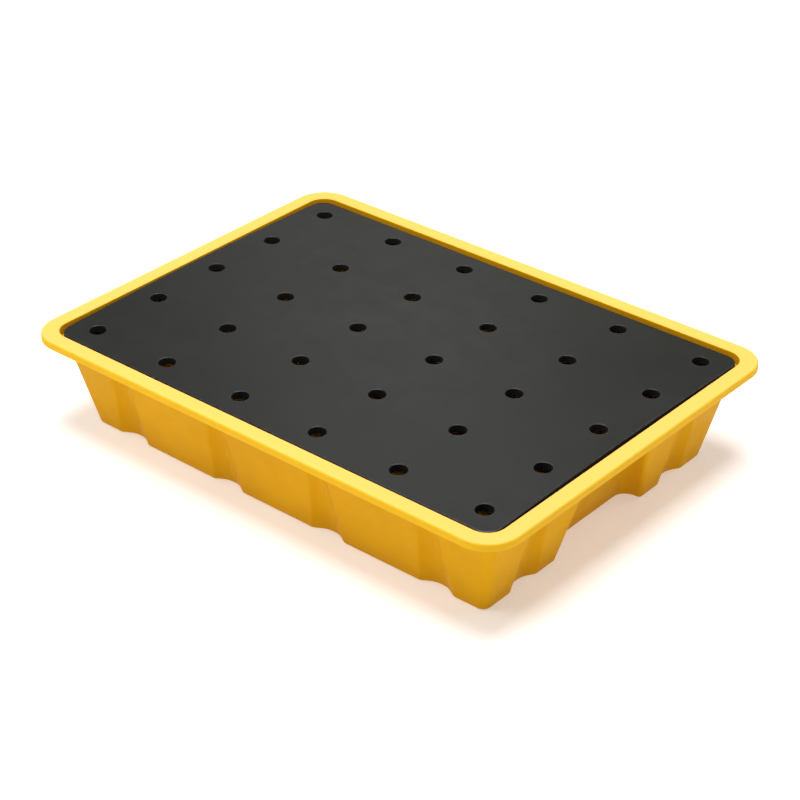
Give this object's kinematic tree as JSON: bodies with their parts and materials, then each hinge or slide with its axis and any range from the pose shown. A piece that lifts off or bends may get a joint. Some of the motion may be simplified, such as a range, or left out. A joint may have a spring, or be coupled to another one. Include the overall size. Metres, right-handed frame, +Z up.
{
  "type": "spill containment pallet",
  "caption": "Low rectangular spill containment tray with grooved tapered walls, a wide flat rim, hand recesses in the ends and a lift-off deck plate with round drain holes.",
  "frame": {"origin": "on the floor, under the middle of the tray", "axes": "+X along the long side, +Y along the short side towards the back, +Z up out of the deck"},
  "size_m": [0.81, 0.598, 0.149],
  "materials": {
    "yellow_polyethylene": "satin moulded polyethylene",
    "black_polyethylene": "matte pressed polyethylene sheet"
  },
  "bodies": {
    "tray": {"sump_tray": "yellow_polyethylene"},
    "deck": {"drain_deck": "black_polyethylene"}
  },
  "joints": [
    {"name": "deck_lift", "type": "slide", "parent": "tray", "child": "deck", "axis": [0, 0, 1], "range_m": [0, 0.2]}
  ]
}
